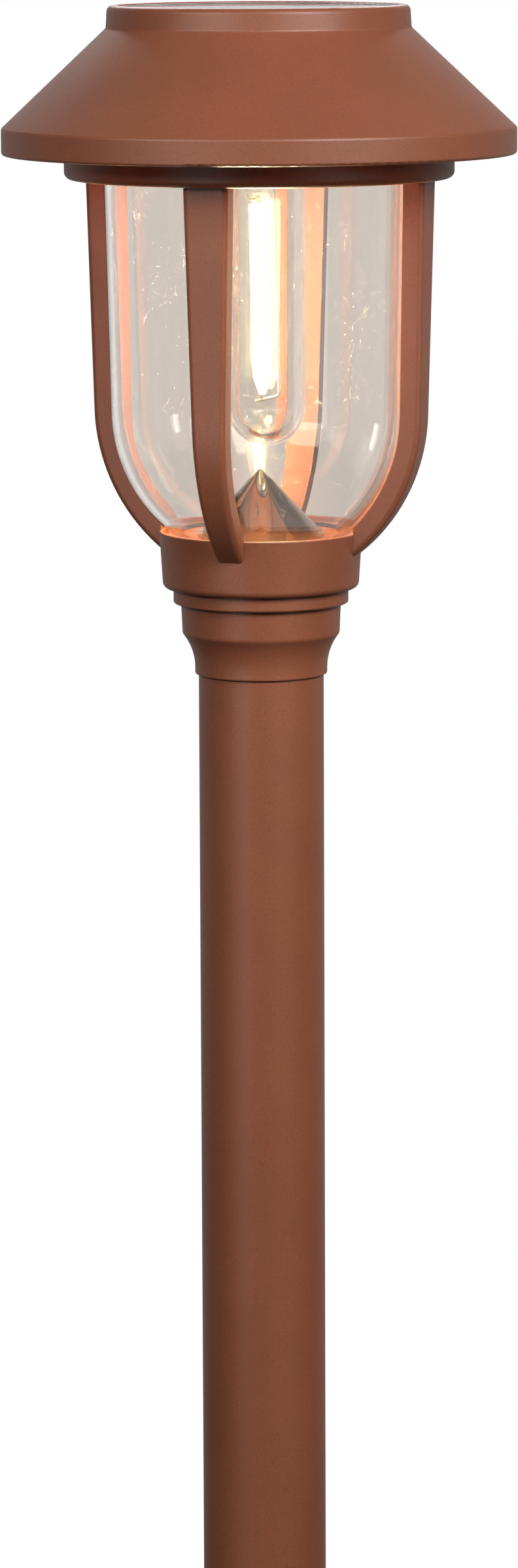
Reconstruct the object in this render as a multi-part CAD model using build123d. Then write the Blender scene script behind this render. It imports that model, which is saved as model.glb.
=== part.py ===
from build123d import *
import os
from math import atan2, cos, pi, sin, tan

# Solar garden torch: a lantern head under a hipped round roof, on a two-part pole with a ground spike.
# Millimetres, +Z up. The pole's axis is Z and the soil level is z = 0, so the spike lies below it.
# The four cage arms stand on the X and Y axes.

# Fits and clearances
push_fit = 0.15
seat_gap = 0.05
cap_gap = 0.3
jar_gap = 0.35
panel_gap = 0.25
plate_gap = 0.4
hatch_gap = 0.2
knob_gap = 0.2
thread_gap = 0.05
screw_clear = 0.3

# Pole and its connector
pole_d = 32.0
pole_wall = 1.2
pole_edge = 0.4
lower_pole_length = 300.0
upper_pole_length = 300.0
connector_flange = 2.0
connector_reach = 35.0
plug_wall = 2.4
plug_lead_in = 1.0

# Ground spike
spike_length = 150.0
spike_point = 45.0
spike_collar = 5.0
spike_plug = 40.0
fin_thickness = 3.0
fin_inset = 1.0
fin_taper = 4.0
fin_tip = 1.2
core_d = 9.0

# Neck
neck_plug = 35.0
neck_wall = 2.4
lip_overhang = 0.9
lip_height = 1.6
flare_out = 3.17
flare_height = 8.9
flare_round = 1.6
drum_draft = 0.35
drum_height = 7.8
step_out = 1.9
step_height = 3.8
neck_boss_wall = 1.5
neck_edge = 0.5

# Cup
cup_wall = 2.33
cup_draft = 0.9
cup_height = 14.6
cup_round = 1.7
rim_wall = 1.1
rim_edge = 0.4
floor_depth = 1.5
floor_thickness = 4.0

# Reflector
cone_d = 31.4
cone_height = 16.6
cone_wall = 1.2
cone_nose = 0.8
cone_brim = 0.6
cone_flange = 1.0

# Cage
ring_height = 7.2
ring_round = 1.8
ring_edge = 0.4
ring_bore_d = 79.6
ring_wall = 3.0
ledge_width = 6.45
ledge_height = 3.4
arm_count = 4
arm_inset = 0.1
arm_bend_height = 30.1
arm_depth_top = 4.83
arm_depth_low = 5.05
arm_draft = 1.3
arm_width_top = 11.8
arm_width_tip = 7.0
arm_round = 1.4
arm_seat_top = 1.7
arm_seat_low = 5.25
arm_toe = 0.6
peg_d = 2.0
peg_reach = 2.0
peg_room = 0.4

# Jar
jar_wall = 1.8
jar_flange = 1.8
jar_foot_gap = 0.2
jar_edge = 0.5

# Seal
gasket_thickness = 1.0

# Roof
roof_d = 130.0
roof_wall = 2.2
eave_drop = 1.7
eave_edge = 0.8
skirt_height = 6.6
hip_height = 25.0
band_height = 5.7
band_d = 76.9
band_draft = 0.35
rim_round = 1.6
hip_edge = 1.0
cover_wall = 2.6
cover_sink = 0.6
cover_thickness = 2.0
cover_edge = 0.4
panel_ledge = 4.1
panel_ledge_thickness = 2.2
roof_boss_d = 6.4
roof_screw_count = 4
roof_screw_angle = 45.0

# Solar panel
panel_thickness = 2.0
cell_thickness = 0.4
cell_width = 6.4
cell_pitch = 7.0
cell_margin = 2.5

# Base plate
plate_thickness = 2.2
collar_height = 1.6
collar_wall = 2.6

# Lamp: socket, ferrule, glass tube and filament
lamp_offset = 1.6
lamp_clear = 5.7
socket_d = 18.4
socket_height = 7.4
socket_top = 1.0
socket_spigot_d = 12.0
socket_spigot_rise = 0.8
lead_bore_d = 8.0
ferrule_wall = 1.6
ferrule_flange = 1.0
tube_d = 19.8
tube_wall = 2.8
tube_end = 13.1
tube_seat = 1.3
filament_d = 4.6
filament_length = 48.4
filament_drop = 5.5
filament_taper = 4.5
filament_tip_d = 1.6
filament_side = 2.1
filament_lean = 1.3
pin_d = 1.2
pin_length = 1.8
wire_d = 0.8
lead_side = 5.1
return_side = 2.4
foot_reach = 1.8
foot_drop = 1.4
foot_below = 1.4

# Battery, its bay in the base plate, and the hatch
battery_d = 10.5
battery_length = 44.5
battery_pip_d = 4.0
battery_pip = 1.0
bay_room = 0.5
bay_wall = 1.5
contact_strip = 0.4
contact_width = 7.0
contact_pip_d = 3.6
contact_pip = 1.2
contact_tab = 3.0
contact_tab_width = 2.4
hatch_thickness = 1.2
hatch_overlap = 1.5
hatch_tab_d = 6.6
hatch_corner = 1.0
hatch_clear = 2.5

# Circuit board and switch
board_length = 40.0
board_width = 20.0
board_thickness = 1.6
board_clear = 4.8
board_rise = 5.0
board_corner = 1.5
post_d = 6.0
post_spacing = 30.0
switch_length = 9.0
switch_width = 4.6
switch_back = 3.0
switch_wall = 1.0
knob_length = 3.0
knob_width = 2.4
knob_drop = 2.2
knob_travel = 3.0
chip_length = 6.0
chip_width = 5.0
chip_height = 1.6
coil_d = 6.0
coil_height = 4.5
capacitor_d = 5.0
capacitor_height = 7.0

# Screws
screw_d = 2.9
screw_head_d = 5.4
screw_head = 2.0
screw_slot = 0.7
screw_slot_depth = 1.0
screw_bite = 6.0
screw_tip = 1.0
neck_screw_count = 3
neck_screw_inset = 1.1

# Leads
lead_d = 1.4
lead_rise = 7.0
lead_pitch = 3.2

# Radii
pole_r = pole_d / 2
pole_bore_r = pole_r - pole_wall
plug_r = pole_bore_r - push_fit
plug_bore_r = plug_r - plug_wall
lip_r = pole_r + lip_overhang
flare_r = lip_r + flare_out
drum_r = flare_r + drum_draft
step_r = drum_r + step_out
cup_bore_r = step_r + cap_gap
cup_foot_r = cup_bore_r + cup_wall
cup_rim_r = cup_foot_r + cup_draft
cone_r = cone_d / 2
cone_brim_r = cone_r + cone_brim
neck_screw_r = cone_brim_r - neck_screw_inset - screw_head_d / 2
ring_bore_r = ring_bore_d / 2
counterbore_r = ring_bore_r + ledge_width
ring_r = counterbore_r + ring_wall
arm_bore_r = ring_bore_r + arm_inset
arm_outer_r = arm_bore_r + arm_depth_top
arm_outer_low_r = arm_outer_r - arm_draft
arm_bore_low_r = arm_outer_low_r - arm_depth_low
arm_seat_r = cup_rim_r + seat_gap
collar_r = counterbore_r - cap_gap
collar_bore_r = collar_r - collar_wall
roof_r = roof_d / 2
band_r = band_d / 2
rim_r = band_r - band_draft
cover_bore_r = rim_r - cover_wall
cover_r = cover_bore_r - panel_gap
panel_bore_r = cover_bore_r - panel_ledge
panel_r = panel_bore_r - panel_gap
plate_r = roof_r - roof_wall - plate_gap
roof_screw_r = (ring_r + plate_r) / 2
tube_r = tube_d / 2
tube_bore_r = tube_r - tube_wall
socket_r = socket_d / 2
ferrule_r = socket_r - ferrule_wall
pilot_r = screw_d / 2 + thread_gap
clear_r = screw_d / 2 + screw_clear

# Heights
z_joint = lower_pole_length
z_upper_pole = z_joint + connector_flange
z_neck = z_upper_pole + upper_pole_length
z_flare = z_neck + lip_height
z_drum = z_flare + flare_height
z_step = z_drum + drum_height
z_cup = z_step + step_height
z_rim = z_cup + cup_height
z_floor = z_rim - floor_depth
z_floor_under = z_floor - floor_thickness
z_cone = z_floor + cone_flange
z_apex = z_cone + cone_height
tube_length = filament_drop + filament_length + tube_end
z_tube = z_apex + lamp_clear + tube_length
z_socket = z_tube + ferrule_flange
z_plate = z_socket + socket_height
z_collar = z_plate - collar_height
z_seal = z_collar - gasket_thickness
z_ledge = z_seal - jar_flange
z_ring = z_ledge - ledge_height
z_ring_top = z_ring + ring_height
z_plate_top = z_plate + plate_thickness
z_eave = z_plate - eave_drop
z_hip = z_eave + skirt_height
z_band = z_hip + hip_height
z_top = z_band + band_height
z_cover = z_top - cover_sink
z_panel_ledge = z_cover - cover_thickness
z_panel = z_panel_ledge - cell_thickness
z_ferrule_top = z_plate - socket_top - seat_gap
z_filament = z_tube - filament_drop
z_arm_bend = z_rim + arm_bend_height
z_arm_tip = z_rim - arm_seat_low
z_peg = (z_floor + z_arm_tip) / 2
z_board = z_plate_top + board_rise
z_board_top = z_board + board_thickness
z_battery = z_plate + hatch_thickness + bay_room / 2 + battery_d / 2
z_bay_top = z_plate + hatch_thickness + battery_d + bay_room

# Battery bay
contact_room = contact_strip + contact_pip
bay_length = battery_length + battery_pip + 2 * contact_room
bay_width = battery_d + 2 * bay_room
hatch_length = bay_length + 2 * hatch_overlap
hatch_width = bay_width + 2 * hatch_overlap
hatch_screw_y = socket_r + hatch_clear + hatch_tab_d / 2
battery_y = hatch_screw_y + hatch_tab_d / 2 - hatch_overlap + hatch_width / 2

# Board and switch
board_y = -(socket_r + board_clear + board_width / 2)
switch_y = board_y - switch_back

base = (Align.CENTER, Align.CENTER, Align.MIN)


def outline(*points):
    """Flat face bounded by straight lines through the points."""
    return make_face(Polyline(*points, close=True))


def rounded(face, radius, *corners):
    """Rounds the corners of a flat face that lie at the given points."""
    for corner in corners:
        face = fillet(face.vertices().sort_by_distance(Vector(*corner))[0], radius)
    return face


def lathe(face):
    """Turns a face drawn in the r, z plane about the Z axis."""
    return revolve(Plane.XZ * face, axis=Axis.Z)


def rod(radius, low, high, x=0.0, y=0.0):
    """Upright cylinder between two heights."""
    return Pos(x, y, low) * Cylinder(radius, high - low, align=base)


def block(length, width, low, high, x=0.0, y=0.0):
    """Upright box between two heights, centred on x, y."""
    return Pos(x, y, low) * Box(length, width, high - low, align=base)


def circle_places(count, radius, first=0.0):
    """Locations spread round the Z axis."""
    return [Rot(0, 0, first + 360 * i / count) * Pos(radius, 0, 0) for i in range(count)]


def neck_screw_places():
    """Places of the screws that hold the cup on the neck."""
    return circle_places(neck_screw_count, neck_screw_r)


def roof_screw_places():
    """Places of the screws that hold the base plate in the roof."""
    return circle_places(roof_screw_count, roof_screw_r, roof_screw_angle)


def screw(seat, shank):
    """Pan head screw whose head sits on the height `seat` and whose shank points down."""
    head = rod(screw_head_d / 2, seat, seat + screw_head)
    head = fillet(head.edges().filter_by(GeomType.CIRCLE).sort_by(Axis.Z)[-1], screw_head / 2)
    cross_low = seat + screw_head - screw_slot_depth
    for length, width in ((screw_head_d / 2, screw_slot), (screw_slot, screw_head_d / 2)):
        head -= block(length, width, cross_low, seat + screw_head)
    return head + rod(screw_d / 2, seat - shank, seat)


def upturned(part, height):
    """Turns a part over about the given height."""
    return Pos(0, 0, 2 * height) * Rot(180, 0, 0) * part


def make_ground_spike():
    """Plug for the pole, a collar flush with the pole, and four fins that come to a point."""
    head = lathe(outline((0, -spike_collar), (pole_r, -spike_collar), (pole_r, 0), (plug_r, 0),
                         (plug_r, spike_plug - plug_lead_in), (plug_r - plug_lead_in, spike_plug),
                         (plug_bore_r, spike_plug), (plug_bore_r, plug_wall), (0, plug_wall)))
    wide = pole_r - fin_inset
    narrow = wide - fin_taper
    shoulder = spike_point - spike_length
    fin = outline((-wide, -spike_collar), (wide, -spike_collar), (narrow, shoulder),
                  (fin_tip, -spike_length), (-fin_tip, -spike_length), (-narrow, shoulder))
    blade = extrude(Plane.XZ * fin, fin_thickness / 2, both=True)
    core = lathe(outline((0, -spike_collar), (core_d / 2, -spike_collar),
                         (fin_tip, -spike_length), (0, -spike_length)))
    return head + blade + Rot(0, 0, 90) * blade + core


def make_pole(low, high):
    """Straight tube with broken outer edges."""
    wall = rounded(outline((pole_bore_r, low), (pole_r, low), (pole_r, high), (pole_bore_r, high)),
                   pole_edge, (pole_r, low), (pole_r, high))
    return lathe(wall)


def make_pole_connector():
    """Tubular plug with a flange that the two pole tubes meet on."""
    low = z_joint - connector_reach
    high = z_upper_pole + connector_reach
    section = outline((plug_bore_r, low), (plug_r - plug_lead_in, low), (plug_r, low + plug_lead_in),
                      (plug_r, z_joint), (pole_r, z_joint), (pole_r, z_upper_pole), (plug_r, z_upper_pole),
                      (plug_r, high - plug_lead_in), (plug_r - plug_lead_in, high), (plug_bore_r, high))
    return lathe(section)


def neck_outline(inner):
    """Neck profile from the cup down to the plug, closed by the given inner points."""
    low = z_neck - neck_plug
    flare = TangentArc((lip_r, z_flare), (flare_r, z_drum), tangent=(0, 1))
    rest = Polyline((flare_r, z_drum), (drum_r, z_step), (step_r, z_step), (step_r, z_floor_under), *inner,
                    (plug_r - plug_lead_in, low), (plug_r, low + plug_lead_in), (plug_r, z_neck),
                    (lip_r, z_neck), (lip_r, z_flare))
    return make_face(flare + rest)


def make_neck():
    """Hollow neck: plug in the pole, flared foot, stepped drum, and screw bosses under the cup."""
    bore_r = step_r - neck_wall
    low = z_neck - neck_plug
    inner = ((bore_r, z_floor_under), (bore_r, z_cup), (drum_r - neck_wall, z_step),
             (plug_bore_r, z_flare), (plug_bore_r, low))
    section = rounded(neck_outline(inner), neck_edge, (step_r, z_step), (lip_r, z_neck))
    section = rounded(section, flare_round, (flare_r, z_drum))
    envelope = lathe(neck_outline(((0, z_floor_under), (0, low))))
    neck = lathe(section)
    for place in neck_screw_places():
        neck += (place * rod(pilot_r + neck_boss_wall, z_neck, z_floor_under)) & envelope
    for place in neck_screw_places():
        neck -= place * rod(pilot_r, z_floor_under - screw_bite - screw_tip, z_floor_under)
    return neck


def make_neck_screws():
    """Screws from the cup's floor into the neck."""
    seat = z_floor - screw_head - screw_clear
    shank = seat - z_floor_under + screw_bite
    return [place * screw(seat, shank) for place in neck_screw_places()]


def cup_envelope(gap):
    """Filled outer form of the cup, standing off by the gap."""
    return lathe(outline((0, z_cup), (cup_foot_r + gap, z_cup), (cup_rim_r + gap, z_rim), (0, z_rim)))


def arm_pegs(radius, reach):
    """Short round pegs from the arms' tips into the cup's wall."""
    length = reach + cup_draft + arm_toe
    peg = Pos(cup_foot_r - reach, 0, z_peg) * Rot(0, 90, 0) * Cylinder(radius, length, align=base)
    return [Rot(0, 0, 360 * i / arm_count) * peg for i in range(arm_count)]


def make_cup():
    """Drum that carries the jar and the reflector, open below for the neck."""
    rim_bore_r = cup_rim_r - rim_wall
    section = outline((0, z_floor_under), (cup_bore_r, z_floor_under), (cup_bore_r, z_cup),
                      (cup_foot_r, z_cup), (cup_rim_r, z_rim), (rim_bore_r, z_rim),
                      (rim_bore_r, z_floor), (0, z_floor))
    section = rounded(section, cup_round, (cup_foot_r, z_cup))
    section = rounded(section, rim_edge, (cup_rim_r, z_rim), (rim_bore_r, z_rim))
    cup = lathe(section)
    for place in neck_screw_places():
        cup -= place * rod(clear_r, z_floor_under, z_floor)
        cup -= place * rod(screw_head_d / 2 + screw_clear, z_floor - screw_head - screw_clear, z_floor)
    for peg in arm_pegs(peg_d / 2 + seat_gap, peg_reach + peg_room):
        cup -= peg
    return cup


def make_reflector_cone():
    """Hollow cone with a small round nose and a flat brim on the cup's floor."""
    half_angle = atan2(cone_r, cone_height)
    inner_r = cone_r - cone_wall / cos(half_angle)
    z_nose = z_apex - cone_nose / sin(half_angle)
    shoulder = (cone_nose * cos(half_angle), z_nose + cone_nose * sin(half_angle))
    nose = TangentArc(shoulder, (0, z_nose + cone_nose), tangent=(-sin(half_angle), cos(half_angle)))
    rest = Polyline((0, z_nose + cone_nose), (0, z_apex - cone_wall / sin(half_angle)), (inner_r, z_cone),
                    (inner_r, z_floor), (cone_brim_r, z_floor), (cone_brim_r, z_cone),
                    (cone_r, z_cone), shoulder)
    return lathe(make_face(nose + rest))


def arm_bend():
    """Centre and radius, in the r, z plane, of the arc that bends an arm's inner side in to the cup."""
    start = Vector(arm_bore_low_r, z_arm_bend)
    run = (start - Vector(arm_bore_r, z_ring)).normalized()
    chord = Vector(arm_seat_r, z_rim + arm_seat_top) - start
    radius = chord.length ** 2 / (2 * abs(run.cross(chord).Z))
    return start + Vector(run.Y, -run.X) * radius, radius


def jar_room():
    """The round space inside the arms, which their inner sides follow, from the cup's rim to the ring."""
    run = (arm_bore_low_r - arm_bore_r, z_arm_bend - z_ring)
    seat = (arm_seat_r, z_rim + arm_seat_top)
    side = TangentArc((arm_bore_low_r, z_arm_bend), seat, tangent=run)
    side += Polyline(seat, (arm_seat_r, z_rim), (0, z_rim), (0, z_ledge), (arm_bore_r, z_ledge),
                     (arm_bore_r, z_ring), (arm_bore_low_r, z_arm_bend))
    return lathe(make_face(side))


def outer_arm_edges(arm):
    """The edges along the outer side of an arm on the +X axis."""
    long_edges = arm.edges().filter_by(lambda edge: edge.length > arm_width_top)
    outer = ShapeList()
    for straight in (True, False):
        outer += long_edges.filter_by(GeomType.LINE, reverse=not straight).sort_by(Axis.X)[-2:]
    return outer


def make_arm():
    """Cage arm on the +X axis: it narrows to its tip, bends in to the cup and is hollowed to the jar."""
    z_root = z_ring + ledge_height / 2
    z_toe = z_arm_tip - arm_toe
    outer_run = (arm_outer_low_r - arm_outer_r, z_arm_bend - z_ring)
    outer_end = (arm_seat_r, z_arm_tip)
    side = TangentArc((arm_outer_low_r, z_arm_bend), outer_end, tangent=outer_run)
    side += Polyline(outer_end, (cup_foot_r, z_toe), (0, z_toe), (0, z_root), (arm_outer_r, z_root),
                     (arm_outer_r, z_ring), (arm_outer_low_r, z_arm_bend))
    bar = extrude(Plane.XZ * make_face(side), arm_width_top, both=True)
    taper = outline((-arm_width_top / 2, z_root), (arm_width_top / 2, z_root),
                    (arm_width_tip / 2, z_toe), (-arm_width_tip / 2, z_toe))
    arm = bar & extrude(Plane.YZ * taper, ring_r)
    return fillet(outer_arm_edges(arm), arm_round) - jar_room() - cup_envelope(seat_gap)


def make_cage():
    """Ring with a ledge for the jar, and arms that peg into the cup."""
    section = outline((ring_bore_r, z_ring), (ring_r, z_ring), (ring_r, z_ring_top),
                      (counterbore_r, z_ring_top), (counterbore_r, z_ledge), (ring_bore_r, z_ledge))
    section = rounded(section, ring_round, (ring_r, z_ring))
    section = rounded(section, ring_edge, (ring_r, z_ring_top))
    cage = lathe(section)
    arm = make_arm()
    for i in range(arm_count):
        cage += Rot(0, 0, 360 * i / arm_count) * arm
    for peg in arm_pegs(peg_d / 2, peg_reach):
        cage += peg
    return cage


def jar_side(offset):
    """Start and end of the bend of a jar wall that follows the arms' inner side at an offset."""
    centre, radius = arm_bend()
    reach = radius - offset
    start = centre + (Vector(arm_bore_low_r, z_arm_bend) - centre) * (reach / radius)
    z_foot = z_floor + jar_foot_gap
    foot_r = centre.X + (reach ** 2 - (z_foot - centre.Y) ** 2) ** 0.5
    return (start.X, start.Y), (foot_r, z_foot)


def make_jar():
    """Clear chimney inside the arms, hung by its flange on the ring's ledge."""
    run = (arm_bore_low_r - arm_bore_r, z_arm_bend - z_ring)
    outer_start, outer_foot = jar_side(jar_gap)
    inner_start, inner_foot = jar_side(jar_gap + jar_wall)
    outer_top = arm_bore_r - jar_gap - arm_inset
    inner_top = outer_top - jar_wall
    section = TangentArc(outer_start, outer_foot, tangent=run)
    section += TangentArc(inner_start, inner_foot, tangent=run)
    section += Polyline(outer_start, (outer_top, z_ring), (outer_top, z_ledge), (collar_r, z_ledge),
                        (collar_r, z_seal), (inner_top, z_seal), (inner_top, z_ring), inner_start)
    section = make_face(section + Line(outer_foot, inner_foot))
    section = rounded(section, jar_edge, outer_foot, inner_foot, (inner_top, z_seal))
    return lathe(section)


def make_cap_gasket():
    """Flat ring between the jar's flange and the cap's collar."""
    return rod(collar_r, z_seal, z_collar) - rod(collar_bore_r, z_seal, z_collar)


def roof_envelope():
    """Outer form of the roof, filled."""
    return lathe(outline((0, z_eave), (roof_r, z_eave), (roof_r, z_hip), (band_r, z_band),
                         (rim_r, z_top), (0, z_top)))


def make_roof():
    """Hipped round shell with a seat for the solar panel and four screw bosses."""
    slope = atan2(hip_height, roof_r - band_r)
    drop = roof_wall / cos(slope)
    skirt_bore_r = roof_r - roof_wall
    inner_r = band_r - roof_wall
    z_skirt_bore = z_hip + roof_wall * tan(slope) - drop
    z_hip_bore = z_band + roof_wall * tan(slope) - drop
    z_ledge_under = z_panel_ledge - panel_ledge_thickness
    section = outline((cover_bore_r, z_top), (rim_r, z_top), (band_r, z_band), (roof_r, z_hip),
                      (roof_r, z_eave), (skirt_bore_r, z_eave), (skirt_bore_r, z_skirt_bore),
                      (inner_r, z_hip_bore), (inner_r, z_ledge_under), (panel_bore_r, z_ledge_under),
                      (panel_bore_r, z_panel_ledge), (cover_bore_r, z_panel_ledge))
    section = rounded(section, rim_round, (rim_r, z_top))
    section = rounded(section, hip_edge, (band_r, z_band), (roof_r, z_hip))
    section = rounded(section, eave_edge, (roof_r, z_eave), (skirt_bore_r, z_eave))
    section = rounded(section, rim_edge, (cover_bore_r, z_top))
    roof = lathe(section)
    for place in roof_screw_places():
        roof += (place * rod(roof_boss_d / 2, z_plate_top, z_top)) & roof_envelope()
    for place in roof_screw_places():
        roof -= place * rod(pilot_r, z_plate_top, z_plate_top + screw_bite)
    return roof


def make_panel_cover():
    """Clear round window over the cells."""
    cover = rod(cover_r, z_panel_ledge, z_cover)
    return fillet(cover.edges().filter_by(GeomType.CIRCLE).sort_by(Axis.Z)[-1], cover_edge)


def make_solar_panel():
    """Round backing board under the cells."""
    return rod(panel_r, z_panel - panel_thickness, z_panel)


def make_solar_cells():
    """Parallel cell strips, trimmed to a circle."""
    disc = rod(panel_r - cell_margin, z_panel, z_panel_ledge)
    reach = panel_r - cell_margin
    count = int(2 * reach / cell_pitch)
    strips = []
    for i in range(count):
        x = (i - (count - 1) / 2) * cell_pitch
        strips.append(block(cell_width, 2 * reach, z_panel, z_panel_ledge, x) & disc)
    return strips


def hatch_face(gap):
    """Hatch outline with its screw tab, drawn in by the gap."""
    face = Pos(0, battery_y) * RectangleRounded(hatch_length - 2 * gap, hatch_width - 2 * gap, hatch_corner)
    return face + Pos(0, hatch_screw_y) * Circle(hatch_tab_d / 2 - gap)


def contact_places():
    """Middle of the contact strips' thickness at the two ends of the battery bay."""
    reach = (bay_length - contact_strip) / 2
    return -reach, reach


def knob_slot(low, high):
    """Room for the switch knob and its travel, between two heights."""
    length = knob_length + knob_travel + 2 * knob_gap
    return block(length, knob_width + 2 * knob_gap, low, high, 0, switch_y)


def board_screw_places():
    """Places along X of the board's two posts."""
    return -post_spacing / 2, post_spacing / 2


def make_base_plate():
    """Floor of the cap: collar for the ring, battery bay, board posts, and openings for lamp and switch."""
    plate = rod(plate_r, z_plate, z_plate_top)
    plate += rod(collar_r, z_collar, z_plate) - rod(collar_bore_r, z_collar, z_plate)
    plate += block(bay_length + 2 * bay_wall, bay_width + 2 * bay_wall, z_plate, z_bay_top + bay_wall,
                   0, battery_y)
    plate += rod(hatch_tab_d / 2, z_plate, z_plate_top + screw_bite, 0, hatch_screw_y)
    for x in board_screw_places():
        plate += rod(post_d / 2, z_plate, z_board, x, board_y)
        plate -= rod(pilot_r, z_plate_top, z_board, x, board_y)
    plate -= block(bay_length, bay_width, z_plate, z_bay_top, 0, battery_y)
    plate -= extrude(Pos(0, 0, z_plate) * hatch_face(0), hatch_thickness)
    plate -= rod(pilot_r, z_plate, z_plate_top + screw_bite - screw_tip, 0, hatch_screw_y)
    for x in contact_places():
        plate -= block(contact_strip + 2 * seat_gap, contact_tab_width + 2 * hatch_gap,
                       z_bay_top, z_bay_top + bay_wall, x, battery_y)
    plate -= rod(socket_spigot_d / 2 + seat_gap, z_plate, z_plate_top, lamp_offset)
    plate -= knob_slot(z_plate, z_plate_top)
    for place in roof_screw_places():
        plate -= place * rod(clear_r, z_plate, z_plate_top)
    return plate


def make_base_plate_screws():
    """Screws from below through the base plate into the roof's bosses."""
    fastener = upturned(screw(z_plate, plate_thickness + screw_bite - screw_tip), z_plate)
    return [place * fastener for place in roof_screw_places()]


def make_lamp_socket():
    """Cup-shaped holder under the base plate, with a hollow spigot through it."""
    top = z_plate_top + socket_spigot_rise
    section = outline((lead_bore_d / 2, top), (socket_spigot_d / 2, top), (socket_spigot_d / 2, z_plate),
                      (socket_r, z_plate), (socket_r, z_socket), (ferrule_r + seat_gap, z_socket),
                      (ferrule_r + seat_gap, z_plate - socket_top), (lead_bore_d / 2, z_plate - socket_top))
    return Pos(lamp_offset, 0, 0) * lathe(rounded(section, rim_edge, (socket_r, z_socket)))


def make_bulb_ferrule():
    """Lamp base: plug in the socket, flange, and a stub inside the glass."""
    stub_r = tube_bore_r - seat_gap
    section = outline((0, z_tube - tube_seat), (stub_r, z_tube - tube_seat), (stub_r, z_tube),
                      (tube_r, z_tube), (tube_r, z_socket), (ferrule_r, z_socket),
                      (ferrule_r, z_ferrule_top), (0, z_ferrule_top))
    return Pos(lamp_offset, 0, 0) * lathe(section)


def make_bulb_tube():
    """Clear glass tube with a round end."""
    z_round = z_tube - tube_length + tube_r
    outer = RadiusArc((tube_r, z_round), (0, z_round - tube_r), tube_r)
    inner = RadiusArc((tube_bore_r, z_round), (0, z_round - tube_bore_r), tube_bore_r)
    wall = Polyline((tube_r, z_round), (tube_r, z_tube), (tube_bore_r, z_tube), (tube_bore_r, z_round))
    seam = Line((0, z_round - tube_r), (0, z_round - tube_bore_r))
    return Pos(lamp_offset, 0, 0) * lathe(make_face(outer + inner + wall + seam))


def filament_mount(part):
    """Puts a part drawn about the filament's top, hanging down, in its leaning place in the lamp."""
    return Pos(lamp_offset - filament_side, 0, z_filament) * Rot(0, -filament_lean, 0) * part


def make_led_filament():
    """Light-giving rod that hangs a little askew in the tube and tapers to its lower end."""
    radius = filament_d / 2
    tip = (filament_tip_d / 2, -filament_length)
    shoulder = (radius, filament_taper - filament_length)
    section = outline((0, 0), (radius, 0), shoulder, tip, (0, -filament_length))
    return filament_mount(lathe(rounded(section, radius / 2, (radius, 0), shoulder)))


def make_filament_wires():
    """Lead bent in to the pin on the filament's top, and a return wire with a foot under its lower pin."""
    wire_r = wire_d / 2
    section = Circle(wire_r)
    top = filament_drop
    lead_x = filament_side - lead_side
    feed_path = FilletPolyline((lead_x, 0, top), (lead_x, 0, wire_d), (0, 0, wire_d), radius=2 * wire_d)
    feed = sweep(Plane((lead_x, 0, top), z_dir=(0, 0, -1)) * section, feed_path)
    feed += rod(pin_d / 2, 0, pin_length)
    return_x = filament_side + return_side
    slope = foot_drop / (return_x + foot_reach)
    z_foot = -filament_length - foot_below
    hook_path = FilletPolyline((return_x, 0, top), (return_x, 0, z_foot + slope * return_x),
                               (-foot_reach, 0, z_foot - slope * foot_reach), radius=1.5 * wire_d)
    hook = sweep(Plane((return_x, 0, top), z_dir=(0, 0, -1)) * section, hook_path)
    hook += rod(wire_r, z_foot, -filament_length)
    stub = rod(tube_r, z_tube - tube_seat, z_tube + filament_drop, lamp_offset)
    return [filament_mount(wire) - stub for wire in (feed, hook)]


def make_battery():
    """Round cell with its positive pip towards +X."""
    can = Rot(0, 90, 0) * Cylinder(battery_d / 2, battery_length)
    can = fillet(can.edges().filter_by(GeomType.CIRCLE), bay_room)
    pip = Rot(0, 90, 0) * Cylinder(battery_pip_d / 2, battery_pip, align=base)
    pip = Pos(battery_length / 2, 0, 0) * pip
    return Pos(-battery_pip / 2, battery_y, z_battery) * (can + pip)


def make_battery_contacts():
    """Sprung strips at both ends of the bay, each with a pressed pip and a solder tab."""
    strips = []
    z_low = z_plate + hatch_thickness
    z_tab = z_bay_top + bay_wall + contact_tab
    for x in contact_places():
        inward = -1 if x > 0 else 1
        strip = block(contact_strip, contact_width, z_low, z_bay_top, x, battery_y)
        strip += block(contact_strip, contact_tab_width, z_bay_top, z_tab, x, battery_y)
        pip = Rot(0, 90 * inward, 0) * Cylinder(contact_pip_d / 2, contact_pip, align=base)
        strip += Pos(x + inward * contact_strip / 2, battery_y, z_battery) * pip
        strips.append(strip)
    return strips


def make_battery_hatch():
    """Flush cover under the battery, with a screw tab."""
    hatch = extrude(Pos(0, 0, z_plate) * hatch_face(hatch_gap), hatch_thickness)
    return hatch - rod(clear_r, z_plate, z_plate + hatch_thickness, 0, hatch_screw_y)


def make_hatch_screw():
    """Screw that holds the hatch."""
    fastener = upturned(screw(z_plate, plate_thickness + screw_bite - 2 * screw_tip), z_plate)
    return Pos(0, hatch_screw_y, 0) * fastener


def make_circuit_board():
    """Board on the two posts."""
    face = RectangleRounded(board_length, board_width, board_corner)
    board = extrude(Pos(0, board_y, z_board) * face, board_thickness)
    for x in board_screw_places():
        board -= rod(clear_r, z_board, z_board_top, x, board_y)
    return board


def make_board_parts():
    """Chip, coil and capacitor soldered to the board."""
    front_y = board_y - board_width / 4
    side_x = board_length / 5
    chip = block(chip_length, chip_width, z_board_top, z_board_top + chip_height, 0, board_y)
    coil = rod(coil_d / 2, z_board_top, z_board_top + coil_height, -side_x, front_y)
    capacitor = rod(capacitor_d / 2, z_board_top, z_board_top + capacitor_height, side_x, front_y)
    return [chip, coil, capacitor]


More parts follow.
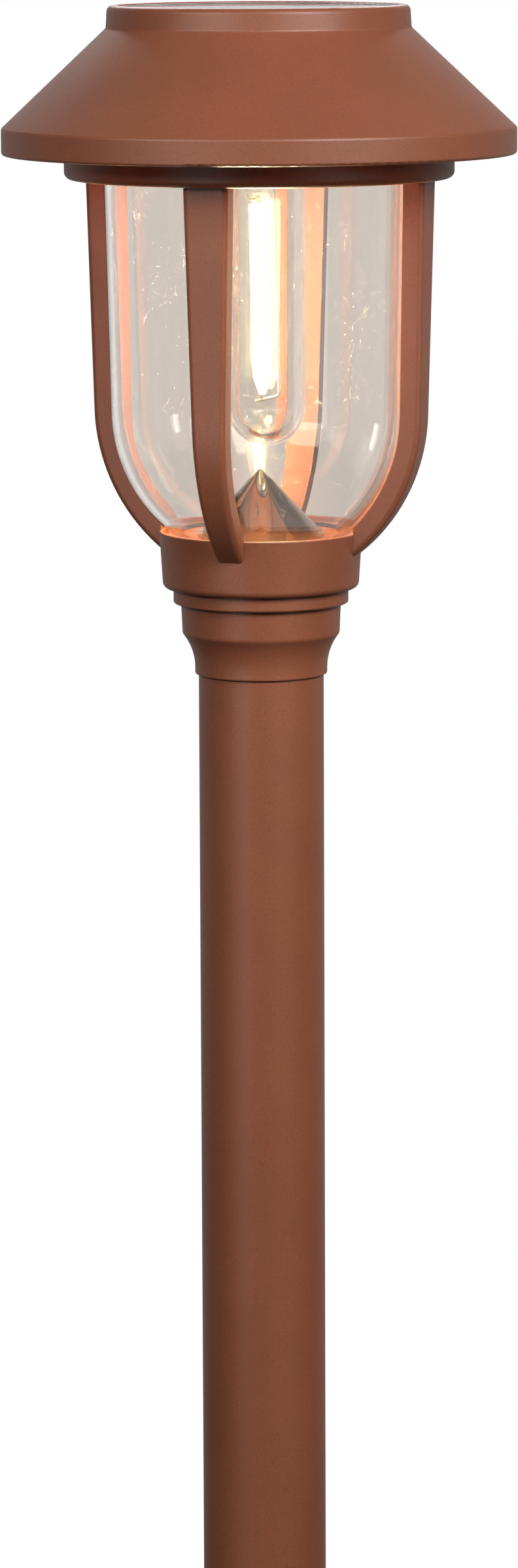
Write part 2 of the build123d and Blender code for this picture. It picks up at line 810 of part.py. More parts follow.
def make_board_screws():
    """Screws through the board into its posts."""
    shank = board_thickness + board_rise - screw_tip
    return [Pos(x, board_y, 0) * screw(z_board_top, shank) for x in board_screw_places()]


def make_switch_body():
    """Slide switch case between the base plate and the board."""
    case = block(switch_length, switch_width, z_plate_top, z_board, 0, switch_y)
    return case - knob_slot(z_plate_top, z_board - switch_wall)


def make_switch_knob():
    """Slider that shows under the base plate, at the -X end of its slot."""
    knob = block(knob_length, knob_width, z_plate - knob_drop, z_board - switch_wall - knob_gap,
                 -knob_travel / 2, switch_y)
    return fillet(knob.faces().sort_by(Axis.Z)[0].edges(), knob_gap)


def lead(*points):
    """Round lead along straight runs joined by arcs as large as the runs allow."""
    radii = []
    for before, here, after in zip(points, points[1:], points[2:]):
        incoming = Vector(*here) - Vector(*before)
        outgoing = Vector(*after) - Vector(*here)
        turn = incoming.get_angle(outgoing) * pi / 180
        radii.append(0.45 * min(incoming.length, outgoing.length) / tan(turn / 2))
    path = FilletPolyline(*points, radius=radii)
    return sweep((path ^ 0) * Circle(lead_d / 2), path)


def make_leads(side):
    """Leads of one pole: from the panel, the battery and the lamp to the board."""
    z_under = z_panel - panel_thickness
    back_y = board_y + board_width / 2 - lead_d
    panel_x = side * lead_pitch
    z_tab = z_bay_top + bay_wall + contact_tab
    tab_x = side * contact_places()[1]
    battery_x = side * (board_length / 2 - lead_pitch)
    lamp_x = lamp_offset + side * lead_d
    land_x = side * 2.5 * lead_pitch
    panel_y = back_y + lead_rise
    panel_lead = lead((panel_x, panel_y, z_under), (panel_x, panel_y, z_under - lead_rise),
                      (panel_x, back_y, z_board_top + lead_rise), (panel_x, back_y, z_board_top))
    battery_lead = lead((tab_x, battery_y, z_tab), (tab_x, battery_y, z_tab + lead_rise / 2),
                        (battery_x, back_y, z_board_top + lead_rise), (battery_x, back_y, z_board_top))
    lamp_lead = lead((lamp_x, 0, z_ferrule_top), (lamp_x, 0, z_plate_top + lead_rise),
                     (land_x, back_y, z_board_top + lead_rise), (land_x, back_y, z_board_top))
    return [panel_lead, battery_lead, lamp_lead]


def save(node, solids):
    """Writes one node's solids to its own file."""
    solids = solids if isinstance(solids, list) else [solids]
    shapes = [solid for piece in solids for solid in piece.solids()]
    export_step(shapes[0] if len(shapes) == 1 else Compound(children=shapes), f"parts/{node}.step")


nodes = {
    "ground_spike": make_ground_spike,
    "lower_pole": lambda: make_pole(0, z_joint),
    "pole_connector": make_pole_connector,
    "upper_pole": lambda: make_pole(z_upper_pole, z_neck),
    "neck": make_neck,
    "neck_screws": make_neck_screws,
    "cup": make_cup,
    "reflector_cone": make_reflector_cone,
    "cage": make_cage,
    "jar": make_jar,
    "cap_gasket": make_cap_gasket,
    "roof": make_roof,
    "panel_cover": make_panel_cover,
    "solar_panel": make_solar_panel,
    "solar_cells": make_solar_cells,
    "base_plate": make_base_plate,
    "base_plate_screws": make_base_plate_screws,
    "lamp_socket": make_lamp_socket,
    "bulb_ferrule": make_bulb_ferrule,
    "bulb_tube": make_bulb_tube,
    "led_filament": make_led_filament,
    "filament_wires": make_filament_wires,
    "battery": make_battery,
    "battery_contacts": make_battery_contacts,
    "battery_hatch": make_battery_hatch,
    "hatch_screw": make_hatch_screw,
    "circuit_board": make_circuit_board,
    "board_parts": make_board_parts,
    "board_screws": make_board_screws,
    "switch_body": make_switch_body,
    "switch_knob": make_switch_knob,
    "red_leads": lambda: make_leads(1),
    "black_leads": lambda: make_leads(-1),
}

os.makedirs("parts", exist_ok=True)
for name, make in nodes.items():
    save(name, make())
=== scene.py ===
"""Dresses a solar garden lantern on its pole and sets it in a plain white studio."""

import logging
import math
from abc import ABC, abstractmethod
from dataclasses import dataclass
from enum import Enum
from typing import Any

import bpy
from mathutils import Matrix, Vector


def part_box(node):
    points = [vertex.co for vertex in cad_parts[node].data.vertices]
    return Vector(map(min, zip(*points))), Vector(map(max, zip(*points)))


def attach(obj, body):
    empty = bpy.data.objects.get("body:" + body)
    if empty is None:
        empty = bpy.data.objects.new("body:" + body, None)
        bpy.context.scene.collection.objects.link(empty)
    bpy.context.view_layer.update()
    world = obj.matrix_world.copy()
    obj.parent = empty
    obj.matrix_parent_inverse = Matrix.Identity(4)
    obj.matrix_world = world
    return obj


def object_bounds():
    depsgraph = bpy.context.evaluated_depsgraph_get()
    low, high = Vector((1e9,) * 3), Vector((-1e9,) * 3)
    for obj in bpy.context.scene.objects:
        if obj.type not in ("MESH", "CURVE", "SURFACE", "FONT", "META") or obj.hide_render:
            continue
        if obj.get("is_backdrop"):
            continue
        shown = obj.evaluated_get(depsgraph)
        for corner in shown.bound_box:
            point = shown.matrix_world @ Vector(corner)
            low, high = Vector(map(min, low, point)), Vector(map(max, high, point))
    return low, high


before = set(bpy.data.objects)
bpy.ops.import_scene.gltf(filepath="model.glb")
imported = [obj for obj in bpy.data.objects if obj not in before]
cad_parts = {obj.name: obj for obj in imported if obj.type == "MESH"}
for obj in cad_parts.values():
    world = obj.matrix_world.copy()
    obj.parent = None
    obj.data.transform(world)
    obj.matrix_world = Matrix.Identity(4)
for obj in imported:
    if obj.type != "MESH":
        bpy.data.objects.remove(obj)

LOG = logging.getLogger("garden_lantern")
MM = 0.001
SMOOTH_ANGLE = math.radians(35.0)
WHITE = (1.0, 1.0, 1.0, 1.0)
NOISE_MEAN = 0.5

# The curve between a colour on a screen and its linear value
SCREEN_TOP = 255.0
SCREEN_KNEE = 0.04045
SCREEN_SLOPE = 12.92
SCREEN_LIFT = 0.055
SCREEN_POWER = 2.4

Band = tuple[float, float]
Stretch = tuple[float, float, float]
LinearColour = tuple[float, float, float, float]


class Body(Enum):
    """The moving bodies that new pieces ride on."""

    CAP = "cap"


class Slot(Enum):
    """A material slot named in the record; no new piece in this script takes its finish from it."""

    SEAL = "seal_rubber"


class LampUse(Enum):
    """What a lamp lights: everything, or only the sheen of things."""

    ALL = "all"
    SHEEN = "sheen"


class Axis(Enum):
    """The direction that a stripe or a drawn line runs across."""

    X = "X"
    Y = "Y"
    Z = "Z"


class Ray(Enum):
    """The kinds of ray that a surface can tell apart."""

    CAMERA = "Is Camera Ray"
    SHADOW = "Is Shadow Ray"
    DIFFUSE = "Is Diffuse Ray"
    GLOSSY = "Is Glossy Ray"
    SHARP = "Is Singular Ray"
    MIRRORED = "Is Reflection Ray"
    THROUGH = "Is Transmission Ray"


@dataclass(frozen=True)
class Colour:
    """A colour as it looks on a screen, from 0 to 255 in each part."""

    red: float
    green: float
    blue: float

    @staticmethod
    def _part(value: float) -> float:
        """One part of the colour as a linear value.

        Args:
            value: The part as it looks on a screen.

        Returns:
            Its linear value, from 0 to 1.
        """
        share = value / SCREEN_TOP
        if share <= SCREEN_KNEE:
            return share / SCREEN_SLOPE
        return ((share + SCREEN_LIFT) / (1.0 + SCREEN_LIFT)) ** SCREEN_POWER

    def linear(self) -> LinearColour:
        """The colour as a shader takes it, with full alpha."""
        return (self._part(self.red), self._part(self.green), self._part(self.blue), 1.0)

    def root(self) -> LinearColour:
        """The linear colour that tints light by half as much, for one face of a two-faced wall."""
        return tuple(math.sqrt(part) for part in self.linear())

    def lit(self, share: float) -> "Colour":
        """The same colour with each part times a share."""
        return Colour(self.red * share, self.green * share, self.blue * share)


class Wire:
    """An output of a shader graph, with Python's operators for its maths."""

    def __init__(self, graph: "Graph", socket: bpy.types.NodeSocket) -> None:
        """Keeps the output and the graph that it belongs to."""
        self.graph = graph
        self.socket = socket

    def __add__(self, other: "Feed") -> "Wire":
        """Sum."""
        return self.graph.math("ADD", self, other)

    __radd__ = __add__

    def __sub__(self, other: "Feed") -> "Wire":
        """Difference."""
        return self.graph.math("SUBTRACT", self, other)

    def __rsub__(self, other: "Feed") -> "Wire":
        """Difference, taken from a plain number."""
        return self.graph.math("SUBTRACT", other, self)

    def __mul__(self, other: "Feed") -> "Wire":
        """Product."""
        return self.graph.math("MULTIPLY", self, other)

    __rmul__ = __mul__

    def __truediv__(self, other: "Feed") -> "Wire":
        """Quotient."""
        return self.graph.math("DIVIDE", self, other)

    def __rtruediv__(self, other: "Feed") -> "Wire":
        """Quotient of a plain number."""
        return self.graph.math("DIVIDE", other, self)

    def __gt__(self, other: "Feed") -> "Wire":
        """1 where this is the greater, else 0."""
        return self.graph.math("GREATER_THAN", self, other)

    def __lt__(self, other: "Feed") -> "Wire":
        """1 where this is the lesser, else 0."""
        return self.graph.math("LESS_THAN", self, other)

    def __abs__(self) -> "Wire":
        """Size without its sign."""
        return self.graph.math("ABSOLUTE", self)

    def wave(self, pitch: float) -> "Wire":
        """Distance from the nearest multiple of a pitch, as a share of half of it."""
        return self.graph.math("PINGPONG", self / (pitch / 2), 1.0)

    def either(self, other: "Feed") -> "Wire":
        """The greater of two values."""
        return self.graph.math("MAXIMUM", self, other)


Feed = Wire | float | tuple[float, ...]


class Graph:
    """A node tree that is built by calls and expressions."""

    # The colour sockets of a Mix node go by number, because each kind of value has the same names
    MIX_FIRST = 6
    MIX_SECOND = 7
    MIX_RESULT = 2

    def __init__(self, tree: bpy.types.NodeTree) -> None:
        """Empties the tree."""
        self.tree = tree
        tree.nodes.clear()

    def node(self, kind: str, settings: dict[str, Any] | None = None,
             sockets: dict[str | int, Feed] | None = None, output: str | int = 0) -> Wire:
        """Adds one node.

        Args:
            kind: The node's type.
            settings: Its own settings, set before its sockets.
            sockets: The value or link of each input, by name or number.
            output: The output to hand on, by name or number.

        Returns:
            The chosen output.
        """
        made = self.tree.nodes.new(kind)
        for name, value in (settings or {}).items():
            setattr(made, name, value)
        for key, value in (sockets or {}).items():
            if isinstance(value, Wire):
                self.tree.links.new(value.socket, made.inputs[key])
            else:
                made.inputs[key].default_value = value
        return Wire(self, made.outputs[output])

    def math(self, operation: str, *values: Feed) -> Wire:
        """A Math node on up to three values."""
        return self.node("ShaderNodeMath", {"operation": operation}, dict(enumerate(values)))

    def place(self) -> Wire:
        """Object coordinates, in metres."""
        return self.node("ShaderNodeTexCoord", output="Object")

    def along(self, axis: Axis) -> Wire:
        """One of the object coordinates."""
        return self.node("ShaderNodeSeparateXYZ", sockets={0: self.place()}, output=axis.value)

    def stretched(self, stretch: Stretch) -> Wire:
        """Object coordinates with each axis scaled."""
        return self.node("ShaderNodeMapping", {"vector_type": "POINT"},
                         {"Vector": self.place(), "Scale": stretch})

    def noise(self, size: float, detail: float = 2.0, place: Wire | None = None) -> Wire:
        """Soft noise, about 0.5 on average.

        Args:
            size: The width of its blotches, in metres.
            detail: How many finer layers it has.
            place: Its coordinates, or None for plain object coordinates.

        Returns:
            The noise value.
        """
        return self.node("ShaderNodeTexNoise", None,
                         {"Vector": place or self.place(), "Scale": 1.0 / size, "Detail": detail})

    def spots(self, spacing: float) -> Wire:
        """Distance from the nearest of many scattered points, as a share of their spacing."""
        return self.node("ShaderNodeTexVoronoi", None,
                         {"Vector": self.place(), "Scale": 1.0 / spacing}, "Distance")

    def ramp(self, value: Wire, low: float, high: float) -> Wire:
        """A smooth step that is 0 at low and beyond it and 1 at high and beyond it, in either order."""
        return self.node("ShaderNodeMapRange", {"interpolation_type": "SMOOTHSTEP"},
                         {"Value": value, "From Min": low, "From Max": high})

    def blend(self, factor: Feed, first: Feed, second: Feed) -> Wire:
        """A colour mix: the first at factor 0, the second at 1."""
        return self.node("ShaderNodeMix", {"data_type": "RGBA"},
                         {0: factor, self.MIX_FIRST: first, self.MIX_SECOND: second}, self.MIX_RESULT)

    def toned(self, factor: Feed, body: Colour, tones: Band) -> Wire:
        """One colour at two levels: the first tone at factor 0, the second at 1."""
        return self.blend(factor, body.lit(tones[0]).linear(), body.lit(tones[1]).linear())

    def bump(self, height: Wire, depth: float) -> Wire:
        """A bumped normal, with the depth that a height of 1 stands for."""
        return self.node("ShaderNodeBump", None, {"Height": height, "Distance": depth})

    def principled(self, **sockets: Feed) -> Wire:
        """A Principled shader, with socket names in words joined by underscores."""
        return self.node("ShaderNodeBsdfPrincipled", None,
                         {self.socket_name(key): value for key, value in sockets.items()})

    @staticmethod
    def socket_name(words: str) -> str:
        """A socket's name from a keyword."""
        return {"ior": "IOR", "specular": "Specular IOR Level"}.get(words, words.replace("_", " ").title())

    def emission(self, strength: float) -> Wire:
        """A surface that glows white."""
        return self.node("ShaderNodeEmission", None, {"Color": WHITE, "Strength": strength})

    def background(self, strength: Feed) -> Wire:
        """White surroundings."""
        return self.node("ShaderNodeBackground", None, {"Color": WHITE, "Strength": strength})

    def dot(self, first: Wire, second: tuple[float, float, float]) -> Wire:
        """How far a vector reaches along a direction."""
        return self.node("ShaderNodeVectorMath", {"operation": "DOT_PRODUCT"},
                         {0: first, 1: second}, "Value")

    def mix_shader(self, factor: Feed, first: Wire, second: Wire) -> Wire:
        """A shader mix: the first at factor 0, the second at 1."""
        return self.node("ShaderNodeMixShader", None, {0: factor, 1: first, 2: second})

    def light_path(self, ray: Ray) -> Wire:
        """1 for one kind of ray, else 0."""
        return self.node("ShaderNodeLightPath", output=ray.value)

    def seen_straight(self) -> Wire:
        """1 for rays that come from the camera with nothing between."""
        return self.light_path(Ray.CAMERA)

    def seen_by_glass(self) -> Wire:
        """Tells the rays that are sharply mirrored or that come through glass.

        Returns:
            1 for those rays, else 0.
        """
        mirrored = self.light_path(Ray.GLOSSY) * self.light_path(Ray.SHARP)
        mirrored = mirrored * self.light_path(Ray.MIRRORED)
        return mirrored.either(self.light_path(Ray.THROUGH))

    def output(self, shader: Wire, kind: str = "ShaderNodeOutputMaterial") -> None:
        """Ends the graph with its output node."""
        made = self.tree.nodes.new(kind)
        self.tree.links.new(shader.socket, made.inputs["Surface"])


class MaterialGraph(Graph):
    """The node tree of a new material."""

    def __init__(self, name: str) -> None:
        """Makes the material.

        Args:
            name: The material's name.
        """
        self.material = bpy.data.materials.new(name)
        self.material.use_nodes = True
        super().__init__(self.material.node_tree)

    def done(self, shader: Wire) -> bpy.types.Material:
        """Ends the graph and hands the material over."""
        self.output(shader)
        return self.material


class Finish(ABC):
    """A finish that becomes a material."""

    @abstractmethod
    def shader(self, graph: MaterialGraph) -> Wire:
        """The finish's shader, made in a material's node tree."""

    def make(self, name: str) -> bpy.types.Material:
        """The finish as a new material of that name."""
        graph = MaterialGraph(name)
        return graph.done(self.shader(graph))


@dataclass(frozen=True)
class StonePaint(Finish):
    """Satin stone-effect paint: one body colour with fine dark and light grains in it."""

    body: Colour
    shine: float = 0.50
    roughness: float = 0.40
    rough_swing: float = 0.14
    cloud_size: float = 24 * MM
    cloud_band: Band = (0.3, 0.7)
    cloud_tones: Band = (0.975, 1.025)
    grain_size: float = 0.42 * MM
    fine_size: float = 0.14 * MM
    grain_cover: float = 0.5
    dark_band: Band = (0.45, 0.70)
    dark_tone: float = 0.80
    light_band: Band = (0.50, 0.72)
    light_tone: float = 1.18
    grain_relief: float = 0.6
    fine_relief: float = 0.4
    relief_depth: float = 0.03 * MM

    def shader(self, graph: MaterialGraph) -> Wire:
        """The paint's shader.

        Args:
            graph: The material's node tree.

        Returns:
            The shader.
        """
        cloud = graph.ramp(graph.noise(self.cloud_size, detail=3.0), *self.cloud_band)
        grain = graph.noise(self.grain_size)
        fine = graph.noise(self.fine_size, detail=1.0)
        dark = graph.ramp(grain, *self.dark_band) * self.grain_cover
        light = graph.ramp(fine, *self.light_band) * self.grain_cover
        colour = graph.toned(cloud, self.body, self.cloud_tones)
        colour = graph.blend(dark, colour, self.body.lit(self.dark_tone).linear())
        colour = graph.blend(light, colour, self.body.lit(self.light_tone).linear())
        rough = self.roughness + (grain - NOISE_MEAN) * self.rough_swing
        relief = grain * self.grain_relief + fine * self.fine_relief
        return graph.principled(base_color=colour, roughness=rough, specular=self.shine,
                                normal=graph.bump(relief, self.relief_depth))


@dataclass(frozen=True)
class ClearWall(Finish):
    """Clear plastic or glass with a faint tint, and dust and hairlines that catch the light behind it."""

    tint: Colour
    ior: float = 1.49
    gloss: float = 0.6
    gloss_blur: float = 0.06
    film: float = 0.0
    film_grain: float = 0.12 * MM
    film_band: Band = (0.60, 0.64)
    dust: float = 0.22
    dust_colour: Colour = Colour(250, 246, 238)
    dust_spacing: float = 2.4 * MM
    speck_band: Band = (0.07, 0.05)
    fineness: float = 3.0
    fine_band: Band = (0.12, 0.08)
    scratch_size: float = 5.0 * MM
    scratch_stretch: Stretch = (1.0, 1.0, 0.6)
    scratch_band: Band = (0.006, 0.002)
    scratch_cover: float = 0.5
    break_size: float = 2.2 * MM
    break_band: Band = (0.50, 0.60)
    worn: float = 0.53
    worn_fade: float = 0.06
    worn_size: float = 11 * MM
    smear: float = 0.002
    smear_size: float = 1.4 * MM
    smear_stretch: Stretch = (1.0, 1.0, 0.08)
    smear_band: Band = (0.45, 0.75)

    def shader(self, graph: MaterialGraph) -> Wire:
        """The wall's shader, which lamps shine straight through.

        Args:
            graph: The material's node tree.

        Returns:
            The shader.
        """
        clear = graph.principled(base_color=self.tint.linear(), roughness=self.film_roughness(graph),
                                 ior=self.ior, transmission_weight=1.0, coat_weight=self.gloss,
                                 coat_roughness=self.gloss_blur)
        dusty = graph.node("ShaderNodeBsdfTranslucent", None, {"Color": self.dust_colour.linear()})
        walled = graph.mix_shader(self.marks(graph), clear, dusty)
        lamps = graph.node("ShaderNodeBsdfTransparent", None, {"Color": self.tint.root()})
        scattered = graph.light_path(Ray.SHADOW).either(graph.light_path(Ray.DIFFUSE))
        return graph.mix_shader(scattered, walled, lamps)

    def film_roughness(self, graph: MaterialGraph) -> Feed:
        """Roughness of the thin film on the wall: fine grains of it on a bare, sharp surface.

        Args:
            graph: The material's node tree.

        Returns:
            The roughness, which is 0 where the wall has no film.
        """
        if not self.film:
            return 0.0
        return graph.ramp(graph.noise(self.film_grain, detail=0.0), *self.film_band) * self.film

    def marks(self, graph: MaterialGraph) -> Wire:
        """How much of the surface specks, scratches and smears cover.

        Args:
            graph: The material's node tree.

        Returns:
            A share from 0 to 1.
        """
        speck = graph.ramp(graph.spots(self.dust_spacing), *self.speck_band)
        fine = graph.ramp(graph.spots(self.dust_spacing / self.fineness), *self.fine_band)
        wander = graph.noise(self.scratch_size, detail=1.0, place=graph.stretched(self.scratch_stretch))
        scratch = graph.ramp(abs(wander - NOISE_MEAN), *self.scratch_band)
        broken = graph.ramp(graph.noise(self.break_size, detail=1.0), *self.break_band)
        scratch = scratch * broken * self.scratch_cover
        handled = graph.ramp(graph.noise(self.worn_size), self.worn - self.worn_fade,
                             self.worn + self.worn_fade)
        streak = graph.noise(self.smear_size, place=graph.stretched(self.smear_stretch))
        wiped = graph.ramp(streak, *self.smear_band) * self.smear
        return (speck.either(scratch.either(fine) * handled) * self.dust).either(wiped)


@dataclass(frozen=True)
class BrightMetal(Finish):
    """Plated or drawn metal, with fine lines left by its making."""

    body: Colour
    roughness: float
    line_size: float = 0.25 * MM
    line_depth: float = 0.004 * MM
    line_stretch: Stretch = (0.05, 0.05, 1.0)
    smear_size: float = 6 * MM
    smear_band: Band = (0.35, 0.70)
    smear_tones: Band = (0.94, 1.0)

    def shader(self, graph: MaterialGraph) -> Wire:
        """The metal's shader.

        Args:
            graph: The material's node tree.

        Returns:
            The shader.
        """
        lines = graph.noise(self.line_size, place=graph.stretched(self.line_stretch))
        smear = graph.noise(self.smear_size)
        colour = graph.toned(graph.ramp(smear, *self.smear_band), self.body, self.smear_tones)
        rough = self.roughness + (smear - NOISE_MEAN) * self.roughness
        return graph.principled(base_color=colour, metallic=1.0, roughness=rough,
                                normal=graph.bump(lines, self.line_depth))


@dataclass(frozen=True)
class MirrorPlate(Finish):
    """Vacuum-plated plastic: a grey mirror with the fine orange-peel of the moulding under it."""

    body: Colour
    roughness: float = 0.015
    rough_low: float = 0.7
    rough_rise: float = 0.6
    peel_size: float = 0.5 * MM
    peel_depth: float = 0.0015 * MM
    tarnish_size: float = 3 * MM
    tarnish_band: Band = (0.35, 0.70)
    tarnish_tones: Band = (0.86, 1.0)

    def shader(self, graph: MaterialGraph) -> Wire:
        """The plating's shader.

        Args:
            graph: The material's node tree.

        Returns:
            The shader.
        """
        peel = graph.noise(self.peel_size)
        tarnish = graph.ramp(graph.noise(self.tarnish_size), *self.tarnish_band)
        colour = graph.toned(tarnish, self.body, self.tarnish_tones)
        rough = self.roughness * (self.rough_low + tarnish * self.rough_rise)
        return graph.principled(base_color=colour, metallic=1.0, roughness=rough,
                                normal=graph.bump(peel, self.peel_depth))


@dataclass(frozen=True)
class MouldedPlastic(Finish):
    """Plain moulded plastic or rubber, with a fine spark-eroded grain."""

    body: Colour
    roughness: float
    rough_swing: float = 0.18
    shine: float = 0.4
    grain_size: float = 0.35 * MM
    grain_depth: float = 0.02 * MM
    flow_size: float = 14 * MM
    flow_band: Band = (0.3, 0.7)
    flow_tones: Band = (0.93, 1.05)

    def shader(self, graph: MaterialGraph) -> Wire:
        """The plastic's shader.

        Args:
            graph: The material's node tree.

        Returns:
            The shader.
        """
        grain = graph.noise(self.grain_size)
        flow = graph.ramp(graph.noise(self.flow_size, detail=3.0), *self.flow_band)
        colour = graph.toned(flow, self.body, self.flow_tones)
        rough = self.roughness + (grain - NOISE_MEAN) * self.rough_swing
        return graph.principled(base_color=colour, roughness=rough, specular=self.shine,
                                normal=graph.bump(grain, self.grain_depth))


@dataclass(frozen=True)
class GlowingPhosphor(Finish):
    """Yellow silicone over a row of lit chips.

    The glow is written dark and its strength high: a linked glow is weighed against the other lamps
    by its strength alone, so a weak one would get few samples and come out noisy.
    """

    glow: Colour = Colour(89, 85, 66)
    strength: float = 5200.0
    chip_pitch: float = 1.7 * MM
    chip_tones: Band = (1.0, 0.94)
    body: Colour = Colour(236, 196, 92)
    roughness: float = 0.4
    mottle_size: float = 2 * MM
    mottle_tones: Band = (0.95, 1.0)

    def shader(self, graph: MaterialGraph) -> Wire:
        """The glowing rod's shader.

        Args:
            graph: The material's node tree.

        Returns:
            The shader.
        """
        between = graph.along(Axis.Z).wave(self.chip_pitch)
        light = graph.toned(between, self.glow, self.chip_tones)
        colour = graph.toned(graph.noise(self.mottle_size), self.body, self.mottle_tones)
        return graph.principled(base_color=colour, roughness=self.roughness, emission_color=light,
                                emission_strength=self.strength)


@dataclass(frozen=True)
class SolarCell(Finish):
    """A blue-black silicon strip with fine silver fingers across it and one rail along it."""

    body: Colour = Colour(24, 30, 62)
    crystal_size: float = 4 * MM
    crystal_band: Band = (0.3, 0.7)
    crystal_tones: Band = (0.8, 1.25)
    silver: Colour = Colour(168, 172, 178)
    silver_metal: float = 0.8
    finger_pitch: float = 1.5 * MM
    finger_share: float = 0.10
    strip_pitch: float = 7.0 * MM
    rail_share: float = 0.11
    roughness: float = 0.22
    rough_rise: float = 0.15

    def shader(self, graph: MaterialGraph) -> Wire:
        """The cell's shader.

        Args:
            graph: The material's node tree.

        Returns:
            The shader.
        """
        finger = graph.along(Axis.Y).wave(self.finger_pitch) < self.finger_share
        rail = graph.along(Axis.X).wave(self.strip_pitch) > 1.0 - self.rail_share
        line = finger.either(rail)
        crystal = graph.ramp(graph.noise(self.crystal_size, detail=1.0), *self.crystal_band)
        silicon = graph.toned(crystal, self.body, self.crystal_tones)
        colour = graph.blend(line, silicon, self.silver.linear())
        rough = self.roughness + line * self.rough_rise
        return graph.principled(base_color=colour, roughness=rough, metallic=line * self.silver_metal)


@dataclass(frozen=True)
class PrintedBoard(Finish):
    """Laminated board with a solder mask over faint copper tracks."""

    mask: Colour
    track: Colour
    track_pitch: float = 2.2 * MM
    track_share: float = 0.35
    patch_size: float = 5 * MM
    patch_band: Band = (0.48, 0.52)
    roughness: float = 0.35
    rough_rise: float = 0.05

    def shader(self, graph: MaterialGraph) -> Wire:
        """The board's shader.

        Args:
            graph: The material's node tree.

        Returns:
            The shader.
        """
        row = graph.along(Axis.Y).wave(self.track_pitch) < self.track_share
        patch = graph.ramp(graph.noise(self.patch_size, detail=0.0), *self.patch_band)
        colour = graph.blend(row * patch, self.mask.linear(), self.track.linear())
        return graph.principled(base_color=colour, roughness=self.roughness + patch * self.rough_rise)


def dress(material: bpy.types.Material, *nodes: str) -> None:
    """Puts a material on CAD nodes.

    Args:
        material: What they are finished in.
        nodes: The nodes' names.
    """
    for node in nodes:
        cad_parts[node].material_slots[0].material = material
        LOG.info("dressed %s in %s", node, material.name)


def deselect() -> None:
    """Leaves edit mode and clears the selection."""
    if bpy.context.object and bpy.context.object.mode != "OBJECT":
        bpy.ops.object.mode_set(mode="OBJECT")
    bpy.ops.object.select_all(action="DESELECT")


def settle(piece: bpy.types.Object, name: str, material: bpy.types.Material, body: Body) -> None:
    """Ends a new piece: its place goes into its mesh, and it rides on its body.

    Args:
        piece: The modelled object.
        name: Its name as a piece.
        material: What it is finished in.
        body: The body that carries it.
    """
    bpy.ops.object.transform_apply(location=True, rotation=True, scale=True)
    bpy.ops.object.shade_smooth_by_angle(angle=SMOOTH_ANGLE)
    piece.name = name
    piece.data.name = name
    piece.data.materials.append(material)
    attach(piece, body.value)
    LOG.info("made %s, %d faces", name, len(piece.data.polygons))


@dataclass
class PoleStack:
    """The ground spike, the two pole lengths and the coupler between them."""

    tube_paint: StonePaint
    spike_plastic: MouldedPlastic = MouldedPlastic(Colour(56, 53, 50), roughness=0.55)

    def build(self) -> None:
        """Dresses the stack."""
        dress(self.tube_paint.make("pole_paint"), "lower_pole", "upper_pole", "pole_connector")
        dress(self.spike_plastic.make("spike_plastic"), "ground_spike")


@dataclass
class Lantern:
    """The neck, the cup, the mirror cone and the cage of four arms."""

    body_paint: StonePaint
    cage_paint: StonePaint
    mirror: MirrorPlate = MirrorPlate(Colour(158, 154, 142))
    screws: BrightMetal = BrightMetal(Colour(170, 168, 164), roughness=0.3)

    def build(self) -> None:
        """Dresses the lantern."""
        dress(self.body_paint.make("lantern_paint"), "neck", "cup")
        dress(self.cage_paint.make("cage_paint"), "cage")
        dress(self.mirror.make("mirror_plate"), "reflector_cone")
        dress(self.screws.make("screw_zinc"), "neck_screws")


@dataclass
class Jar:
    """The clear jar and the seal on its flange."""

    wall: ClearWall = ClearWall(Colour(228, 222, 216))
    seal: MouldedPlastic = MouldedPlastic(Colour(52, 50, 48), roughness=0.75)

    def build(self) -> None:
        """Dresses the jar."""
        dress(self.wall.make("jar_clear"), "jar")
        dress(self.seal.make("seal_rubber"), "cap_gasket")


@dataclass
class Lamp:
    """The tube lamp: socket, ferrule, glass, filament and its wires."""

    glass: ClearWall = ClearWall(Colour(248, 247, 244), ior=1.47, dust=0.12, dust_spacing=1.8 * MM,
                                 scratch_size=3.2 * MM, worn=0.44, smear=0.0005)
    phosphor: GlowingPhosphor = GlowingPhosphor()
    wire: BrightMetal = BrightMetal(Colour(206, 198, 184), roughness=0.22)
    shell: BrightMetal = BrightMetal(Colour(120, 120, 112), roughness=0.35)
    holder: MouldedPlastic = MouldedPlastic(Colour(46, 48, 42), roughness=0.5)

    def build(self) -> None:
        """Dresses the lamp."""
        dress(self.glass.make("lamp_glass"), "bulb_tube")
        dress(self.phosphor.make("filament_phosphor"), "led_filament")
        dress(self.wire.make("wire_nickel"), "filament_wires")
        dress(self.shell.make("ferrule_dark"), "bulb_ferrule")
        dress(self.holder.make("socket_dark"), "lamp_socket")


